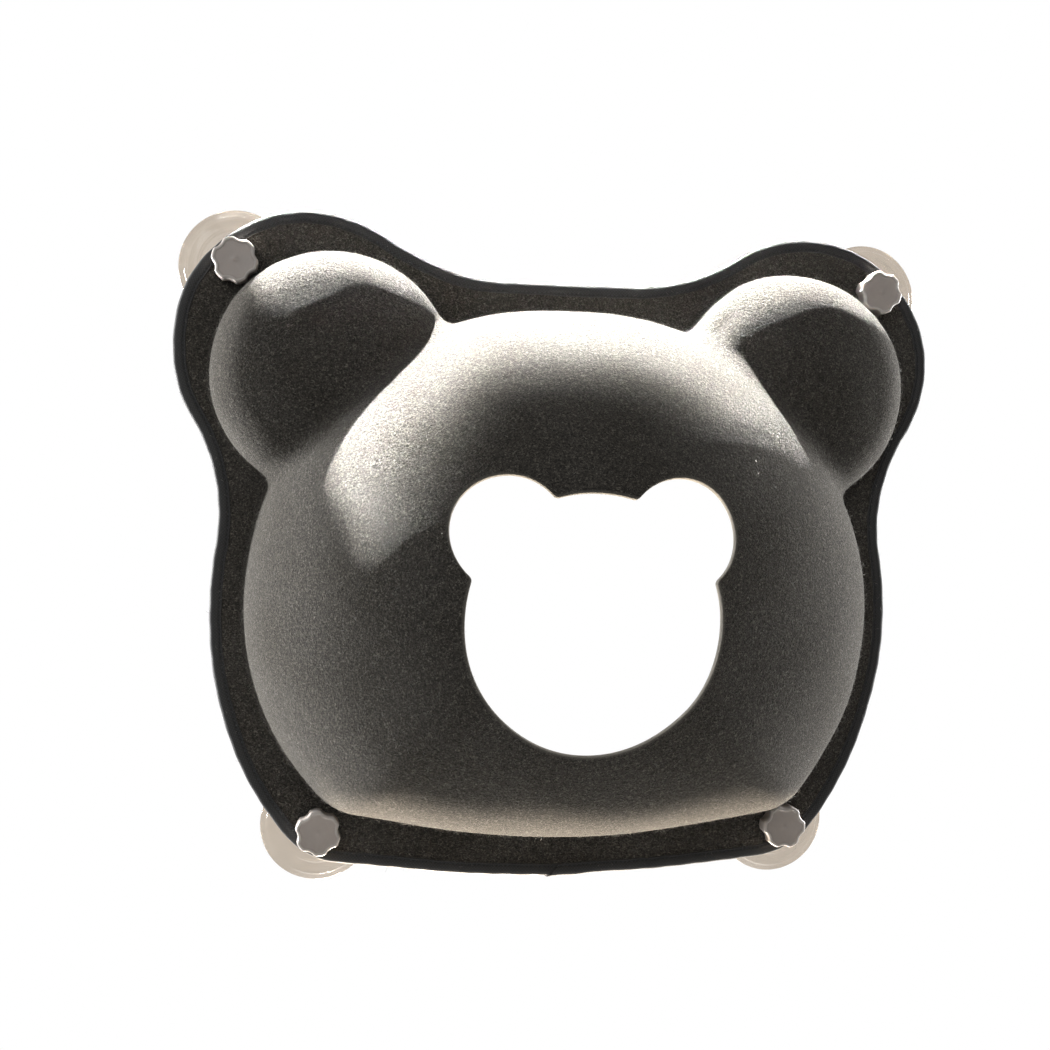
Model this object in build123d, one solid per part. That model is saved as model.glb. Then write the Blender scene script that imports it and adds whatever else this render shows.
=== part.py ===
from build123d import *
import os
from math import atan2, cos, degrees, radians, sin, sqrt

# Window mounted cat perch: a moulded felt shell in the outline of a bear's head, held
# against a window pane by four suction cups. Every length is in millimetres.
#
# Frame: the origin lies on the pane, at the middle of the four cups. +X is to the right
# and +Z up, both as seen from the room, and +Y points out through the pane. Each piece is
# drawn as it lies on a table, with the pane as the table top: x across, y up the pane and
# the depth off the pane along z. The function on_pane then stands it up.

# Felt sheet, moulded in one piece
felt_thickness = 4.0

# Head of the dome, outside. Its crown and cheeks are half circles with a short flat between
# them, met at one level, and its chin is cut off by a wide shallow curve.
head_half_width = 227.0
head_crown_flat = 12.0
head_cheek_flat = 36.0
head_level = 3.0
head_chin_cut = 33.0
head_floor_radius = 896.0
head_corner_radius = 45.0
head_depth = 134.0
head_middle = 15.0

# The head swells like a rounded box: how deep each section lies, as a share of the depth,
# and the power of the curve that gives its width there. The power rises towards the chin,
# where the floor runs further out and turns up more tightly.
section_depth_shares = (0, 0.12, 0.28, 0.46, 0.64, 0.79, 0.90, 0.95, 0.98)
section_points = 72
swell_power = 2.2
chin_power = 1.3
chin_blend = 3

# Ears of the dome, outside: how far their middles lie inside the head's side and crown
ear_side_drop = 59.0
ear_crown_drop = 52.0
ear_radius = 85.0
ear_depth = 56.0
ear_rim_radius = 34.0
ear_crown_radius = 204.0

# Brim: how far this flat border, measured over its binding tape, runs past the dome
brim_side_border = 24.0
brim_side_middle = 11.5
brim_brow_border = 21.0
brim_floor_border = 38.5
brim_floor_radius = 1107.0
brim_corner_radius = 61.0
brim_ear_shift_x = 17.0
brim_ear_shift_y = 20.0
brim_ear_border = 10.0
brim_neck_radius = 132.0
brim_brow_radius = 160.0

# Soft turns of the felt, where the dome rises from the brim and where ears meet head
brim_turn_radius = 4.0
ear_turn_radius = 5.0

# Doorway: a round hole with two small ears, cut in the front of the head
door_radius = 85.5
door_ear_x = 57.0
door_ear_y = 58.0
door_ear_radius = 38.0
door_notch_radius = 4.0

# Binding tape folded over the edge of the brim, and the thread that sews it down
tape_thickness = 0.9
tape_width = 9.0
tape_clearance = 0.1
tape_edge_radius = 2.4
thread_thickness = 0.4
thread_width = 0.6
thread_margin = 1.6

# Suction cups: their studs pass through the brim's ears and lower corners, in these
# directions from the middles of those curves, in degrees
upper_cup_direction = 47.1
lower_cup_direction = -58.1

# Suction cup, with its beads placed as shares of the way up the skirt
cup_radius = 41.0
cup_height = 18.0
cup_lip_width = 5.0
cup_lip_thickness = 2.0
cup_edge_radius = 0.6
cup_hollow = 7.0
cup_skirt_bulge = 1.6
cup_shoulder = 9.6
cup_shoulder_radius = 14.0
cup_neck_radius = 9.2
cup_neck_turn_radius = 3.0
cup_bead_radius = 0.9
cup_bead_shares = (0.2, 0.55)

# Threaded stud moulded into the cup's neck, drawn at the outer diameter of its thread
stud_radius = 4.0
stud_tip_chamfer = 0.7
stud_head_radius = 7.0
stud_head_thickness = 3.0
stud_head_floor = 2.5
moulding_clearance = 0.05

# Eyelet that lines the hole in the felt: barrel, front rim, back curl and loose back ring
eyelet_tape_gap = 1.6
eyelet_clearance = 0.5
eyelet_wall = 0.5
eyelet_hole_clearance = 0.1
eyelet_rim_radius = 8.0
eyelet_rim_thickness = 0.8
eyelet_rim_turn_radius = 0.5
eyelet_curl_radius = 6.5
eyelet_curl_thickness = 0.4
eyelet_ring_thickness = 0.6

# Washer that travels on the stud under the knob
washer_radius = 9.2
washer_thickness = 1.2
washer_clearance = 0.3
washer_chamfer = 0.2

# Lobed knob: a nut with a closed face, cored out from behind
knob_lobes = 6
knob_radius = 16.0
knob_valley_depth = 1.9
knob_valley_radius = 8.1
knob_height = 13.0
knob_face_turn_radius = 2.0
knob_skirt_turn_radius = 0.5
knob_boss_radius = 8.6
knob_boss_height = 0.8
knob_wall = 2.2
knob_core_depth = 8.0
knob_core_turn_radius = 0.2
knob_engagement = 7.0
knob_bore_clearance = 0.05
knob_bore_spare = 0.8
knob_seat_clearance = 0.2

# How far round each knob stopped when it was tightened, in degrees
knob_turns = {"top_left": 17, "top_right": 15, "bottom_left": 7, "bottom_right": 29}

# A cut runs this far past what it cuts
overrun = 5.0

# Depths off the pane, stacked up from the cup, and the radii that share the stud's middle
curl_depth = cup_height
ring_depth = curl_depth + eyelet_curl_thickness
felt_back = ring_depth + eyelet_ring_thickness
felt_front = felt_back + felt_thickness
washer_depth = felt_front + eyelet_rim_thickness
knob_depth = washer_depth + washer_thickness + knob_seat_clearance
stud_tip = knob_depth + knob_boss_height + knob_engagement
eyelet_bore_radius = stud_radius + eyelet_clearance
eyelet_barrel_radius = eyelet_bore_radius + eyelet_wall
felt_hole_radius = eyelet_barrel_radius + eyelet_hole_clearance
tape_reach = tape_clearance + tape_thickness
cup_margin = tape_width + eyelet_rim_radius + eyelet_tape_gap

# Sizes of the head, its ears and the brim that follow from one another
head_crown_radius = head_half_width - head_crown_flat
head_cheek_radius = head_half_width - head_cheek_flat
head_crown = head_level + head_crown_radius
head_floor = head_cheek_radius - head_level - head_chin_cut
ear_x = head_half_width - ear_side_drop
ear_y = head_crown - ear_crown_drop
brim_side_radius = head_half_width + brim_side_border + brim_side_middle
brim_brow = head_crown + brim_brow_border
brim_floor = head_floor + brim_floor_border
brim_ear_x = ear_x + brim_ear_shift_x
brim_ear_y = ear_y + brim_ear_shift_y
brim_ear_radius = ear_radius + brim_ear_border


def on_pane(piece):
    """Stand a piece that was drawn flat on the table up against the pane."""
    return Plane.XZ.location * piece


def save(name, piece):
    """Write one piece of the perch to its own file."""
    export_step(on_pane(piece), f"parts/{name}.step")


def plate(outline, depth, thickness):
    """Flat plate of a drawn outline whose back lies at a depth off the pane."""
    return Pos(0, 0, depth) * extrude(outline, thickness)


def ring(outer_radius, inner_radius, depth, thickness):
    """Flat ring whose back lies at a depth off the pane."""
    return plate(Circle(outer_radius) - Circle(inner_radius), depth, thickness)


def touching(first, second, first_gap, second_gap, right=True):
    """Middle of a circle that lies these gaps away from two others, on their right or left."""
    span = second - first
    along = (first_gap**2 - second_gap**2 + span.length**2) / (span.length * 2)
    way = span.normalized()
    across = Vector(way.Y, -way.X) * sqrt(first_gap**2 - along**2)
    foot = first + way * along
    spots = sorted([foot + across, foot - across], key=lambda spot: spot.X)
    return spots[-1] if right else spots[0]


def arc_outline(arcs, inset):
    """Outline whose right half is a chain of arcs that touch, from the floor up.

    Each arc has a middle, a radius and a bulge of 1 outwards or -1 inwards. The left half
    mirrors the right one, and inset draws the whole outline in."""
    arcs = [(middle, radius - bulge * inset, bulge) for middle, radius, bulge in arcs]
    joins = []
    for (middle, radius, bulge), (next_middle, next_radius, next_bulge) in zip(arcs, arcs[1:]):
        way = (next_middle - middle).normalized()
        if bulge == next_bulge and next_radius > radius:
            joins.append(next_middle - way * next_radius)
        else:
            joins.append(middle + way * radius)
    floor_middle, floor_radius, floor_bulge = arcs[0]
    top_middle, top_radius, top_bulge = arcs[-1]
    top = top_middle + Vector(0, top_radius) * top_bulge
    ends = [floor_middle - Vector(0, floor_radius)] + joins + [top]
    half = []
    for (middle, radius, bulge), start, stop in zip(arcs, ends, ends[1:]):
        first = degrees(atan2(start.Y - middle.Y, start.X - middle.X))
        last = degrees(atan2(stop.Y - middle.Y, stop.X - middle.X))
        half.append(CenterArc(middle, radius, first, bulge * ((last - first) * bulge % 360)))
    if top.X > 0:
        half.append(Line(top, Vector(0, top.Y)))
    line = Curve() + half
    return make_face(line + mirror(line, about=Plane.YZ))


def round_corners(outline, spots, radius):
    """Round the corners of an outline that lie at the given spots."""
    picked = [min(outline.vertices(), key=lambda v: (Vector(v) - spot).length) for spot in spots]
    return fillet(picked, radius)


def mirrored(piece, x, y):
    """A piece placed at x and at minus x, both y up."""
    return [Pos(side * x, y) * piece for side in (-1, 1)]


def brim_curves():
    """The curves round the brim: flat floor, corner, cheek, soft neck, ear and flat brow."""
    floor = Vector(0, brim_floor_radius - brim_floor)
    cheek = Vector(-brim_side_middle, 0)
    ear = Vector(brim_ear_x, brim_ear_y)
    corner = touching(
        floor, cheek, brim_floor_radius - brim_corner_radius, brim_side_radius - brim_corner_radius
    )
    neck = touching(
        cheek, ear, brim_side_radius + brim_neck_radius, brim_ear_radius + brim_neck_radius
    )
    brow_y = brim_brow + brim_brow_radius
    brow_x = sqrt((brim_ear_radius + brim_brow_radius) ** 2 - (brow_y - brim_ear_y) ** 2)
    return [
        (floor, brim_floor_radius, 1),
        (corner, brim_corner_radius, 1),
        (cheek, brim_side_radius, 1),
        (neck, brim_neck_radius, -1),
        (ear, brim_ear_radius, 1),
        (Vector(brim_ear_x - brow_x, brow_y), brim_brow_radius, -1),
    ]


def brim_outline(inset):
    """Outline of the brim."""
    return arc_outline(brim_curves(), inset)


def head_outline(inset):
    """Outline of the head where it leaves the brim: round crown, tighter cheeks, flat chin."""
    floor = Vector(0, head_floor_radius - head_floor)
    cheek = Vector(head_cheek_flat, head_level)
    corner = touching(
        floor, cheek, head_floor_radius - head_corner_radius, head_cheek_radius - head_corner_radius
    )
    curves = [
        (floor, head_floor_radius, 1),
        (corner, head_corner_radius, 1),
        (cheek, head_cheek_radius, 1),
        (Vector(head_crown_flat, head_level), head_crown_radius, 1),
    ]
    return arc_outline(curves, inset)


def head_form(inset):
    """The head's swelling form, from the back of the brim to just inside the doorway."""
    base = head_outline(inset).wire()
    middle = Vector(0, head_middle)
    start = base.param_at_point(Vector(0, inset - head_floor))
    runs = [(start + count / section_points) % 1 for count in range(section_points)]
    reaches = [base @ run - middle for run in runs]
    sections = []
    for depth_share in section_depth_shares:
        points = []
        for reach in reaches:
            chin = max(-reach.Y / reach.length, 0) ** chin_blend
            power = swell_power + chin_power * chin
            points.append(middle + reach * (1 - depth_share**power) ** (1 / power))
        depth = depth_share * (head_depth - inset)
        sections.append(Pos(0, 0, depth) * make_face(Spline(points, periodic=True)))
    return loft(sections)


def ear_form(inset):
    """One ear: a low round drum with a wide rounded rim and a gently domed face."""
    radius = ear_radius - inset
    depth = ear_depth - inset
    rim = ear_rim_radius - inset
    crown = ear_crown_radius - inset
    crown_centre = depth - crown
    join_x_share = (radius - rim) / (crown - rim)
    join_rise_share = sqrt(1 - join_x_share**2)
    wall_top = crown_centre + (crown - rim) * join_rise_share
    join = (crown * join_x_share, crown_centre + crown * join_rise_share)
    rim_arc = TangentArc((radius, wall_top), join, tangent=(0, 1))
    profile = Curve() + [
        Line((0, 0), (radius, 0)),
        Line((radius, 0), (radius, wall_top)),
        rim_arc,
        TangentArc(join, (0, depth), tangent=rim_arc % 1),
        Line((0, depth), (0, 0)),
    ]
    return revolve(Plane.XZ * make_face(profile), axis=Axis.Z)


def dome_form(inset, turn_radius):
    """Head and both ears as one block on the back of the brim, with soft turns between them."""
    head = head_form(inset)
    ears = mirrored(ear_form(inset), ear_x, ear_y)
    block = head + ears
    turns = new_edges(head, *ears, combined=block)
    return Pos(0, 0, felt_back) * fillet(turns, turn_radius)


def door_outline():
    """Outline of the doorway: a circle with two small ears and soft notches between them."""
    middle = Vector(0, 0)
    ear = Vector(door_ear_x, door_ear_y)
    gap = door_radius + door_notch_radius
    ear_gap = door_ear_radius + door_notch_radius
    curves = [
        (middle, door_radius, 1),
        (touching(middle, ear, gap, ear_gap), door_notch_radius, -1),
        (ear, door_ear_radius, 1),
        (touching(middle, ear, gap, ear_gap, right=False), door_notch_radius, -1),
        (middle, door_radius, 1),
    ]
    return arc_outline(curves, 0)


def felt_shell():
    """The felt in one piece: brim, hollow dome, doorway and four eyelet holes."""
    brim = plate(brim_outline(tape_reach), felt_back, felt_thickness)
    dome = dome_form(0, ear_turn_radius)
    block = brim + dome
    foot = new_edges(brim, dome, combined=block)
    shell = fillet(foot, brim_turn_radius)
    shell = shell - dome_form(felt_thickness, ear_turn_radius + felt_thickness)
    mouth = shell.faces().sort_by(Axis.Z)[0].inner_wires()[0].edges()
    shell = shell.fillet(brim_turn_radius + felt_thickness, mouth)
    shell = shell - plate(door_outline(), felt_back, head_depth + overrun)
    shell = Pos(0, face_height) * shell
    hole = plate(Circle(felt_hole_radius), felt_back - overrun, felt_thickness + overrun * 2)
    for x, y in corners.values():
        shell = shell - Pos(x, y) * hole
    return shell


def edge_binding():
    """Tape folded over the brim's edge, front and back, all the way round."""
    tape = plate(brim_outline(0), felt_back - tape_reach, felt_thickness + tape_reach * 2)
    faces = tape.faces().sort_by(Axis.Z)
    tape = fillet(faces[0].edges() + faces[-1].edges(), tape_edge_radius)
    slot = plate(
        brim_outline(tape_thickness), felt_back - tape_clearance, felt_thickness + tape_clearance * 2
    )
    window = plate(brim_outline(tape_width), felt_back - overrun, felt_thickness + overrun * 2)
    return Pos(0, face_height) * (tape - slot - window)


def binding_thread():
    """The thread that sews the tape down: a line of it on the front and one on the back."""
    inset = tape_width - thread_margin - thread_width
    line = brim_outline(inset) - brim_outline(inset + thread_width)
    front = plate(line, felt_front + tape_reach, thread_thickness)
    back = plate(line, felt_back - tape_reach - thread_thickness, thread_thickness)
    return Pos(0, face_height) * (front + back)


def stud(clearance):
    """Threaded stud with the round head that the cup is moulded over."""
    head_depth_off_pane = cup_hollow + stud_head_floor
    head = plate(
        Circle(stud_head_radius + clearance),
        head_depth_off_pane - clearance,
        stud_head_thickness + clearance * 2,
    )
    shaft = plate(Circle(stud_radius + clearance), head_depth_off_pane, stud_tip - head_depth_off_pane)
    tip = shaft.edges().sort_by(Axis.Z)[-1]
    return head + chamfer(tip, stud_tip_chamfer)


def suction_cup():
    """Clear cup: flat sealing lip, shallow hollow, skirt with two raised beads, stout neck."""
    lip_inner = cup_radius - cup_lip_width
    skirt = SagittaArc(
        (cup_radius, cup_lip_thickness), (cup_shoulder_radius, cup_shoulder), -cup_skirt_bulge
    )
    profile = Curve() + [
        TangentArc((0, cup_hollow), (lip_inner, 0), tangent=(1, 0)),
        Line((lip_inner, 0), (cup_radius, 0)),
        Line((cup_radius, 0), (cup_radius, cup_lip_thickness)),
        skirt,
        Line((cup_shoulder_radius, cup_shoulder), (cup_neck_radius, cup_shoulder)),
        Line((cup_neck_radius, cup_shoulder), (cup_neck_radius, cup_height)),
        Line((cup_neck_radius, cup_height), (0, cup_height)),
        Line((0, cup_height), (0, cup_hollow)),
    ]
    section = make_face(profile)
    inner_corner = Vector(cup_neck_radius, cup_shoulder)
    section = round_corners(section, [inner_corner], cup_neck_turn_radius)
    rim_corners = [Vector(cup_radius, 0), Vector(cup_radius, cup_lip_thickness)]
    section = round_corners(section, rim_corners, cup_edge_radius)
    cup = revolve(Plane.XZ * section, axis=Axis.Z)
    for share in cup_bead_shares:
        bead = skirt.position_at(share)
        cup = cup + Pos(0, 0, bead.Y) * Torus(bead.X, cup_bead_radius)
    return cup - stud(moulding_clearance)


def eyelet():
    """Eyelet set through the felt: a barrel with a rim in front and a curled end behind."""
    barrel = plate(Circle(eyelet_barrel_radius), curl_depth, washer_depth - curl_depth)
    rim = plate(Circle(eyelet_rim_radius), felt_front, eyelet_rim_thickness)
    rim = fillet(rim.edges().sort_by(Axis.Z)[-1], eyelet_rim_turn_radius)
    curl = plate(Circle(eyelet_curl_radius), curl_depth, eyelet_curl_thickness)
    bore = plate(Circle(eyelet_bore_radius), curl_depth - overrun, washer_depth + overrun)
    return barrel + rim + curl - bore


def washer():
    """Flat washer with broken edges."""
    body = ring(washer_radius, stud_radius + washer_clearance, washer_depth, washer_thickness)
    return chamfer(body.edges().filter_by(GeomType.CIRCLE), washer_chamfer)


def knob_outline():
    """Outline of the knob: broad lobes with shallow valleys between them."""
    valley_centre = knob_radius - knob_valley_depth + knob_valley_radius
    valleys = PolarLocations(valley_centre, knob_lobes) * Circle(knob_valley_radius)
    outline = Circle(knob_radius) - valleys
    return fillet(outline.vertices(), knob_wall + knob_core_turn_radius)


def knob():
    """Lobed knob with a rounded face, a boss that bears on the washer and a blind bore."""
    underside = knob_depth + knob_boss_height
    outline = knob_outline()
    body = plate(outline, underside, knob_height - knob_boss_height)
    faces = body.faces().sort_by(Axis.Z)
    body = fillet(faces[-1].edges(), knob_face_turn_radius)
    body = fillet(body.faces().sort_by(Axis.Z)[0].edges(), knob_skirt_turn_radius)
    core = offset(outline, -knob_wall) - Circle(knob_boss_radius)
    body = body - plate(core, underside, knob_core_depth)
    boss = plate(Circle(knob_boss_radius), knob_depth, knob_boss_height)
    bore_depth = knob_boss_height + knob_engagement + knob_bore_spare
    bore = plate(Circle(stud_radius + knob_bore_clearance), knob_depth, bore_depth)
    return body + boss - bore


def cup_places():
    """Middles of the four cups on the pane, and the height there of the bear's face."""
    floor, corner, cheek, neck, ear, brow = brim_curves()
    spots = []
    for curve, direction in ((ear, upper_cup_direction), (corner, lower_cup_direction)):
        middle, radius, bulge = curve
        way = Vector(cos(radians(direction)), sin(radians(direction)))
        spots.append(middle + way * (radius - cup_margin))
    upper, lower = spots
    middle_height = (upper.Y + lower.Y) / 2
    row_height = (upper.Y - lower.Y) / 2
    places = {
        "top_left": (-upper.X, row_height),
        "top_right": (upper.X, row_height),
        "bottom_left": (-lower.X, -row_height),
        "bottom_right": (lower.X, -row_height),
    }
    return places, -middle_height


corners, face_height = cup_places()

os.makedirs("parts", exist_ok=True)
save("felt_shell", felt_shell())
save("edge_binding", edge_binding())
save("binding_thread", binding_thread())

back_ring = ring(eyelet_rim_radius, felt_hole_radius, ring_depth, eyelet_ring_thickness)
for corner, (x, y) in corners.items():
    save(f"suction_cup_{corner}", Pos(x, y) * suction_cup())
    save(f"stud_{corner}", Pos(x, y) * stud(0))
    save(f"eyelet_{corner}", Pos(x, y) * eyelet())
    save(f"eyelet_ring_{corner}", Pos(x, y) * back_ring)
    save(f"washer_{corner}", Pos(x, y) * washer())
    save(f"knob_{corner}", Pos(x, y) * Rot(0, 0, knob_turns[corner]) * knob())
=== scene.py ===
import math

import bpy
import numpy as np
from mathutils import Matrix, Vector


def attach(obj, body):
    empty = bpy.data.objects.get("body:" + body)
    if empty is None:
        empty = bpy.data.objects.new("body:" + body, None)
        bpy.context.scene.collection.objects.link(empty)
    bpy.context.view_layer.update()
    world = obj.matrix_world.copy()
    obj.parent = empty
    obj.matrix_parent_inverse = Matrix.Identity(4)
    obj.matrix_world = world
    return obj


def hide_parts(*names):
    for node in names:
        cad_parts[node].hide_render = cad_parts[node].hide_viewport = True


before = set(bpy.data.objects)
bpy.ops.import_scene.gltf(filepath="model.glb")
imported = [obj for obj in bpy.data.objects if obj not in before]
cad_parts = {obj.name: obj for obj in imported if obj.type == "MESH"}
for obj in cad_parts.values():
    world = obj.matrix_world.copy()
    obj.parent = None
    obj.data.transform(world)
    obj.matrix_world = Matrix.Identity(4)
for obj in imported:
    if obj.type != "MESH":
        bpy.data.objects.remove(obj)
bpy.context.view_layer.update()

# Felt shell
# One sheet of heather grey wool-blend felt, 4 mm thick, pressed hot over a mould: a flat brim,
# the dome of the head and two ears. The round doorway with its two small ears is punched out
# afterwards, which leaves a clean edge where the pressed layers catch the light; that edge is
# painted paler, a painted highlight.
FELT_BACK = 19.0       # depth off the pane of the felt's back, mm
FELT_THICK = 4.0
FACE_HEIGHT = -42.068  # height of the doorway's middle above the middle of the four cups
HEAD_DEPTH = 134.0     # of the dome off the felt's back, and its middle over the doorway's
HEAD_MIDDLE = 15.0
SWELL = 2.2            # of the dome's section: 2 is an ellipse, and more is squarer
CHIN_SWELL = 1.3       # added to it straight below, where the floor turns up more tightly
EAR = dict(x=168.0, y=166.0, radius=85.0, depth=56.0, rim=34.0, crown=204.0)
EAR_TURN = 10.0        # radii of the hollow turns at the ears and at the dome's foot
FOOT_TURN = 4.0
STRAIGHT = 1e5         # a straight line is drawn as an arc of 100 m
POINTS_APART = 0.5     # along a drawn arc, mm, or further on one flatter than FLATTEST
FLATTEST = 2000.0
STUDS = {"top_left": (-237.007, 199.898), "top_right": (237.007, 199.898),
         "bottom_left": (-171.401, -199.898), "bottom_right": (171.401, -199.898)}


def between(a, b, gap_a, gap_b, right=True):
    """Middle of the circle whose middle is gap_a from a and gap_b from b, on the right or left."""
    ax, ay = a
    bx, by = b
    far = math.hypot(bx - ax, by - ay)
    along = (gap_a**2 - gap_b**2 + far**2) / (2 * far)
    across = math.sqrt(gap_a**2 - along**2)
    ux, uy = (bx - ax) / far, (by - ay) / far
    spots = [(ax + along * ux + s * across * uy, ay + along * uy - s * across * ux) for s in (-1, 1)]
    return sorted(spots)[1 if right else 0]


def half_outline(arcs, inset=0.0):
    """Points up the right half of an outline made of arcs that touch, each (middle, radius,
    bulge), moved inwards by inset, and how far along it the middle of each arc lies."""
    arcs = [(np.array(m, float), r - b * inset, b) for m, r, b in arcs]
    joins = []
    for (m1, r1, b1), (m2, r2, b2) in zip(arcs, arcs[1:]):
        if b1 == b2 and r2 > r1:
            joins.append(m2 + r2 * (m1 - m2) / np.linalg.norm(m1 - m2))
        else:
            joins.append(m1 + r1 * (m2 - m1) / np.linalg.norm(m2 - m1))
    ends = [arcs[0][0] + (0, -arcs[0][1])] + joins + [arcs[-1][0] + (0, arcs[-1][1])]
    points, middles, run = [ends[0]], [], 0.0
    for (m, r, b), start, stop in zip(arcs, ends, ends[1:]):
        first = math.atan2(*(start - m)[::-1])
        sweep = (math.atan2(*(stop - m)[::-1]) - first + 3 * math.pi) % (2 * math.pi) - math.pi
        if sweep * b < -1e-9:
            sweep += 2 * math.pi * b
        steps = max(3, int(abs(sweep) * min(r, FLATTEST) / POINTS_APART))
        turns = first + sweep * np.linspace(0, 1, steps)[1:]
        points += list(m + r * np.stack([np.cos(turns), np.sin(turns)], 1))
        middles.append(run + abs(sweep) * r / 2)
        run += abs(sweep) * r
    return np.array(points), middles


def runs_of(points):
    """How far along a line of points each of them lies."""
    return np.r_[0, np.cumsum(np.linalg.norm(np.diff(points, axis=0), axis=1))]


def at_runs(points, runs):
    """Points at given distances along a line of points."""
    return np.stack([np.interp(runs, runs_of(points), points[:, i]) for i in range(points.shape[1])], -1)


def length(points):
    """How long a line of points is."""
    return np.linalg.norm(np.diff(points, axis=0), axis=1).sum()


def both_sides(half):
    """A closed outline from its right half, anticlockwise from the bottom middle."""
    return np.vstack([half, (half * (-1, 1))[-2:0:-1]])


floor_middle, cheek_middle, ear_middle = (0, 913.5), (-11.5, 0), (185, 186)
brow_middle = (0, 239 - STRAIGHT)
BRIM = [
    (floor_middle, 1107.0, 1),
    (between(floor_middle, cheek_middle, 1107 - 61, 262.5 - 61), 61.0, 1),
    (cheek_middle, 262.5, 1),
    (between(cheek_middle, ear_middle, 262.5 + 132, 95 + 132), 132.0, -1),
    (ear_middle, 95.0, 1),
    (between(ear_middle, brow_middle, 95 + 160, STRAIGHT + 160, right=False), 160.0, -1),
    (brow_middle, STRAIGHT, 1),
]
HEAD = [
    ((0, 741), 896.0, 1),
    (between((0, 741), (36, 3), 896 - 45, 191 - 45), 45.0, 1),
    ((36, 3), 191.0, 1),
    ((12, 3), 215.0, 1),
    ((0, 218 - STRAIGHT), STRAIGHT, 1),
]
DOOR = [
    ((0, 0), 85.5, 1),
    (between((0, 0), (57, 58), 85.5 + 4, 38 + 4), 4.0, -1),
    ((57, 58), 38.0, 1),
    (between((0, 0), (57, 58), 85.5 + 4, 38 + 4, right=False), 4.0, -1),
    ((0, 0), 85.5, 1),
]

head_line = both_sides(half_outline(HEAD)[0]) - (0, HEAD_MIDDLE)
head_turns = np.linspace(-math.pi, math.pi, 4 * 360 + 1)
order = np.argsort(np.arctan2(head_line[:, 1], head_line[:, 0]))
head_reaches = np.interp(head_turns, np.arctan2(head_line[order, 1], head_line[order, 0]),
                         np.hypot(*head_line[order].T), period=2 * math.pi)
head_slopes = np.gradient(head_reaches, head_turns)


def off_head(x, y, z):
    """Distance off the swelling of the head, negative inside it."""
    turn = np.arctan2(y - HEAD_MIDDLE, x)
    reach = np.interp(turn, head_turns, head_reaches)
    slope = np.interp(turn, head_turns, head_slopes)
    across = np.hypot(x, y - HEAD_MIDDLE) / reach + 1e-9
    up = np.maximum(z, 0) / HEAD_DEPTH + 1e-9
    swell = SWELL + CHIN_SWELL * np.maximum(-np.sin(turn), 0) ** 3
    size = (across**swell + up**swell) ** (1 / swell)
    side = (across / size) ** (swell - 1) / reach * np.hypot(1, slope / reach)
    rise = (up / size) ** (swell - 1) / HEAD_DEPTH
    return (size - 1) / np.hypot(side, rise)


def off_ear(x, y, z):
    """Distance off one of the ears: an upright wall, a wide rounded rim, a low crown."""
    r = np.hypot(np.abs(x) - EAR["x"], y - EAR["y"])
    crown_low = EAR["depth"] - EAR["crown"]
    rim_out = EAR["radius"] - EAR["rim"]
    share = rim_out / (EAR["crown"] - EAR["rim"])
    rim_low = crown_low + (EAR["crown"] - EAR["rim"]) * math.sqrt(1 - share**2)
    wall = r - EAR["radius"]
    rim = np.hypot(r - rim_out, z - rim_low) - EAR["rim"]
    crown = np.hypot(r, z - crown_low) - EAR["crown"]
    in_crown = r * (rim_low - crown_low) < rim_out * (z - crown_low)
    return np.where(in_crown, crown, np.where(z < rim_low, wall, rim))


def joined(a, b, turn):
    """Two forms as one, with a hollow turn of a given radius where they meet."""
    near_a, near_b = np.maximum(turn - a, 0), np.maximum(turn - b, 0)
    return np.maximum(turn, np.minimum(a, b)) - np.hypot(near_a, near_b)


def off_felt(x, y, z):
    """Distance off the felt's outer face."""
    dome = joined(off_head(x, y, z), off_ear(x, y, z), EAR_TURN)
    return joined(dome, z - FELT_THICK, FOOT_TURN)


COLUMNS = 240          # points round one half of the doorway
ROWS = 129             # points from the doorway to the edge of the brim
brim_half, brim_marks = half_outline(BRIM, 1.0)
door_half, door_marks = half_outline(DOOR)
brim_length, door_length = length(brim_half), length(door_half)
brim_runs = np.linspace(0, brim_length, COLUMNS + 1)

# Lines of points run out from the doorway's small ears to the ears of the brim.
door_runs = np.interp(brim_runs, [0, *brim_marks[3:6], brim_length], [0, *door_marks[1:4], door_length])
rim_out, rim_in = at_runs(brim_half, brim_runs), at_runs(door_half, door_runs)

# Rays fan out from a point deep behind the doorway's edge and meet the outer face once each.
RAY_START = -120.0
RAY_END = 520.0
RAYS = 700
HALVINGS = 30
span = rim_out - rim_in
reach = np.linalg.norm(span, axis=1)
heading = span / reach[:, None]
lean = np.arctan2(reach, FELT_THICK - RAY_START)[:, None] * np.linspace(0, 1, RAYS)[None, :]


def on_rays(far):
    """Points on the fan of rays at given distances from where they start."""
    out = far * np.sin(lean)
    return np.stack([rim_in[:, 0:1] + heading[:, 0:1] * out, rim_in[:, 1:2] + heading[:, 1:2] * out,
                     RAY_START + far * np.cos(lean)], 2)


near, far = np.zeros_like(lean), np.full_like(lean, RAY_END)
for _ in range(HALVINGS):
    middle = (near + far) / 2
    outside = off_felt(*np.moveaxis(on_rays(middle), 2, 0)) > 0
    far = np.where(outside, middle, far)
    near = np.where(outside, near, middle)
fan = on_rays(near)

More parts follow.
